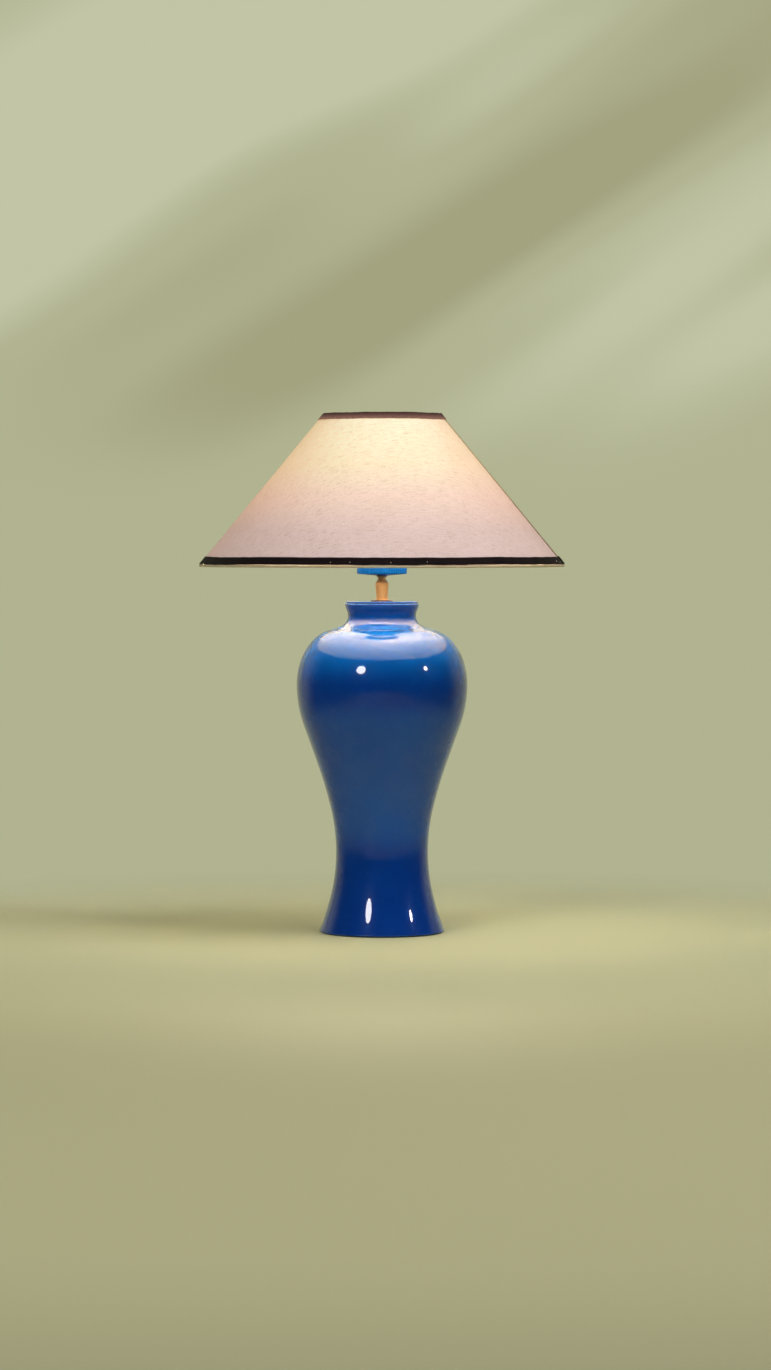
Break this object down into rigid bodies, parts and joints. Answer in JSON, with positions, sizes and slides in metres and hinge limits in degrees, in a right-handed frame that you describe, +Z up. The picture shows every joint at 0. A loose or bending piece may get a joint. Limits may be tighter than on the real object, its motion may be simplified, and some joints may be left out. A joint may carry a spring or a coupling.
{
  "type": "table lamp",
  "caption": "Baluster vase table lamp with a turned brass neck, a screw lampholder and bulb, and a wide cone shade of linen edged with dark ribbon.",
  "frame": {"origin": "centre of the felt pad's underside, where the lamp stands", "axes": "+Z up along the lamp's axis; the front faces -Y, and the lead inlet is at the back, towards +Y"},
  "size_m": [0.4008, 0.4008, 0.5692],
  "materials": {
    "felt": "matt wool felt",
    "zinc_plate": "zinc plated",
    "white_plastic": "moulded, semi-gloss",
    "black_plastic": "moulded, matt",
    "black_rubber": "matt",
    "blue_glaze": "deep blue high-gloss glaze",
    "blue_paint": "deep blue high-gloss enamel",
    "bright_blue_paint": "bright blue satin enamel",
    "dark_bronze": "dark bronze, satin",
    "satin_brass": "turned, satin",
    "contact_brass": "stamped",
    "holder_plastic": "moulded, semi-gloss",
    "white_ceramic": "unglazed",
    "nickel": "nickel plated",
    "brown_insulation": "extruded",
    "blue_insulation": "extruded",
    "solder": "dull tinned",
    "black_glass": "glossy black glass",
    "cap_aluminium": "rolled",
    "frosted_glass": "frosted",
    "stem_glass": "clear",
    "filament": "phosphor coated",
    "frame_wire": "nickel plated wire",
    "cream_tape": "woven cotton tape",
    "lining": "matt white laminate",
    "linen": "slubby linen",
    "dark_ribbon": "grosgrain ribbon"
  },
  "bodies": {
    "base": {"felt_pad": "felt", "foot_cover": "zinc_plate", "terminal_block": "white_plastic", "block_screw": "zinc_plate", "block_clamp_screws": "zinc_plate", "cord_grommet": "black_plastic", "vase_body": "blue_glaze", "cushion_washer": "black_rubber", "clamp_washer": "zinc_plate", "lock_washer": "zinc_plate", "bottom_nut": "zinc_plate", "threaded_rod": "zinc_plate", "neck_plug": "black_plastic", "cap_gasket": "black_rubber", "vase_cap": "blue_paint", "seat_washer": "dark_bronze", "turned_neck": "satin_brass", "dish_washer": "dark_bronze", "holder_dish": "bright_blue_paint", "holder_cap": "holder_plastic", "lock_screw": "zinc_plate", "holder_core": "white_ceramic", "holder_terminals": "satin_brass", "terminal_screws": "zinc_plate", "centre_contact": "contact_brass", "screw_shell": "nickel", "holder_skirt": "holder_plastic", "live_lead": "brown_insulation", "neutral_lead": "blue_insulation"},
    "ring_lift": {"slip_washer": "dark_bronze"},
    "clamp_ring": {"clamp_ring": "bright_blue_paint"},
    "bulb_lift": {"bulb_contact": "solder", "bulb_insulator": "black_glass"},
    "bulb": {"bulb_cap": "cap_aluminium", "bulb_glass": "frosted_glass", "bulb_stem": "stem_glass", "bulb_filaments": "filament", "filament_wires": "nickel"},
    "shade": {"fitter_hub": "frame_wire", "fitter_arm_left": "frame_wire", "fitter_arm_right": "frame_wire", "fitter_arm_back": "frame_wire", "bottom_ring": "cream_tape", "top_ring": "cream_tape", "shade_lining": "lining", "shade_linen": "linen", "seam_strip": "linen", "bottom_trim": "dark_ribbon", "top_trim": "dark_ribbon"}
  },
  "joints": [
    {"name": "ring_rise", "type": "slide", "parent": "base", "child": "ring_lift", "axis": [0, 0, 1], "range_m": [0, 0.01]},
    {"name": "ring_turn", "type": "hinge", "parent": "ring_lift", "child": "clamp_ring", "pos_m": [0, 0, 0.4095], "axis": [0, 0, 1], "range_deg": [0, 1440]},
    {"name": "bulb_rise", "type": "slide", "parent": "base", "child": "bulb_lift", "axis": [0, 0, 1], "range_m": [0, 0.01815]},
    {"name": "bulb_turn", "type": "hinge", "parent": "bulb_lift", "child": "bulb", "pos_m": [0, 0, 0.4359], "axis": [0, 0, 1], "range_deg": [0, 1800]},
    {"name": "shade_turn", "type": "hinge", "parent": "base", "child": "shade", "pos_m": [0, 0, 0.403], "axis": [0, 0, 1], "continuous": true}
  ],
  "couplings": [
    {"joint": "ring_rise", "follows": "ring_turn", "m_per_rad": 0.00039789},
    {"joint": "bulb_rise", "follows": "bulb_turn", "m_per_rad": 0.00057757}
  ]
}
